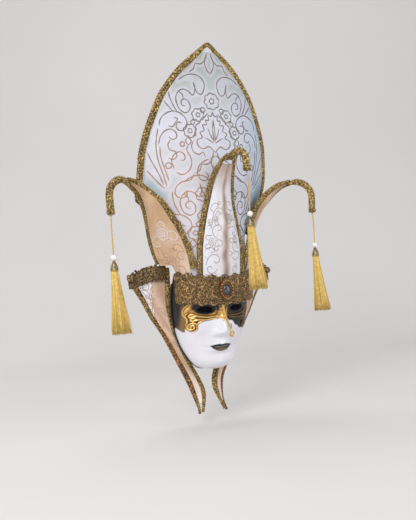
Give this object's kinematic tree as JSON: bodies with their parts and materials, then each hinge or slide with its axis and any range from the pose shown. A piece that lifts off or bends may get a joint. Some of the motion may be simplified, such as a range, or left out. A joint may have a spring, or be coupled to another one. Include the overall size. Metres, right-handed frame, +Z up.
{
  "type": "venetian masquerade mask",
  "caption": "Full-face Venetian carnival mask with tall fabric crest panel, curled horns with hanging tassels, lace forehead band and side wings that meet below the chin.",
  "frame": {"origin": "middle of the hole in the brass hanger on the back of the crest panel", "axes": "+Z up, the face looks along -Y, +X to the right of a viewer who faces the mask"},
  "size_m": [0.437, 0.2048, 0.6488],
  "materials": {
    "face_paint": "satin white paint over papier-mache",
    "black_edge": "matte black tape",
    "gauze": "black gauze",
    "gilding": "antiqued gold leaf on gesso",
    "lace": "dark bronze metallic lace",
    "damask": "white and pale blue damask with copper outlines",
    "brocade_white": "white damask with brown figure",
    "brocade_tan": "tan satin brocade",
    "lining": "plain cotton",
    "card": "grey-brown card",
    "braid": "antique gold metallic braid",
    "wire": "steel wire",
    "brass": "brushed brass",
    "brooch_metal": "antiqued copper gold",
    "stone": "dark faceted glass",
    "beads": "copper-gold beads",
    "silk": "golden yellow silk",
    "cord_silk": "ochre twisted cord",
    "pearl": "white pearl",
    "cap_metal": "antique brass"
  },
  "bodies": {
    "mask": {"mask_shell": "face_paint", "rim_binding": "black_edge", "eye_veils": "gauze", "gilt_relief_left": "gilding", "gilt_relief_right": "gilding", "nose_scroll": "gilding", "forehead_lace": "lace", "brooch_setting": "brooch_metal", "brooch_stone": "stone", "brooch_beads": "beads", "panel_board": "card", "panel_damask": "damask", "panel_lining": "lining", "panel_braid": "braid", "panel_stay": "wire", "hanger_plate": "brass", "hanger_rivets": "brass", "horn_left_board": "card", "horn_left_brocade": "brocade_tan", "horn_left_lining": "lining", "horn_left_braid": "braid", "horn_left_wires": "wire", "horn_left_tip": "braid", "horn_centre_board": "card", "horn_centre_brocade": "brocade_white", "horn_centre_lining": "lining", "horn_centre_braid": "braid", "horn_centre_wires": "wire", "horn_centre_tip": "braid", "horn_right_board": "card", "horn_right_brocade": "brocade_tan", "horn_right_lining": "lining", "horn_right_braid": "braid", "horn_right_wires": "wire", "horn_right_tip": "braid", "wing_left_board": "card", "wing_left_brocade": "brocade_tan", "wing_left_lining": "lining", "wing_left_braid": "braid", "wing_left_lace": "lace", "wing_right_board": "card", "wing_right_brocade": "brocade_tan", "wing_right_lining": "lining", "wing_right_braid": "braid", "wing_right_lace": "lace"},
    "tassel_left_loop": {"tassel_left_knot": "cord_silk"},
    "tassel_left": {"tassel_left_cord": "cord_silk", "tassel_left_pearl": "pearl", "tassel_left_cap": "cap_metal", "tassel_left_skirt": "silk"},
    "tassel_centre_loop": {"tassel_centre_knot": "cord_silk"},
    "tassel_centre": {"tassel_centre_cord": "cord_silk", "tassel_centre_pearl": "pearl", "tassel_centre_cap": "cap_metal", "tassel_centre_skirt": "silk"},
    "tassel_right_loop": {"tassel_right_knot": "cord_silk"},
    "tassel_right": {"tassel_right_cord": "cord_silk", "tassel_right_pearl": "pearl", "tassel_right_cap": "cap_metal", "tassel_right_skirt": "silk"}
  },
  "joints": [
    {"name": "tassel_left_fore_aft", "type": "hinge", "parent": "mask", "child": "tassel_left_loop", "pos_m": [-0.203, -0.0118, -0.0614], "axis": [1, 0, 0], "range_deg": [-50, 15]},
    {"name": "tassel_left_sideways", "type": "hinge", "parent": "tassel_left_loop", "child": "tassel_left", "pos_m": [-0.203, -0.0118, -0.0614], "axis": [0, 1, 0], "range_deg": [-25, 50]},
    {"name": "tassel_centre_fore_aft", "type": "hinge", "parent": "mask", "child": "tassel_centre_loop", "pos_m": [0, -0.1055, -0.0024], "axis": [1, 0, 0], "range_deg": [-50, 18]},
    {"name": "tassel_centre_sideways", "type": "hinge", "parent": "tassel_centre_loop", "child": "tassel_centre", "pos_m": [0, -0.1055, -0.0024], "axis": [0, 1, 0], "range_deg": [-45, 45]},
    {"name": "tassel_right_fore_aft", "type": "hinge", "parent": "mask", "child": "tassel_right_loop", "pos_m": [0.203, -0.0118, -0.0614], "axis": [1, 0, 0], "range_deg": [-50, 15]},
    {"name": "tassel_right_sideways", "type": "hinge", "parent": "tassel_right_loop", "child": "tassel_right", "pos_m": [0.203, -0.0118, -0.0614], "axis": [0, 1, 0], "range_deg": [-50, 25]}
  ]
}
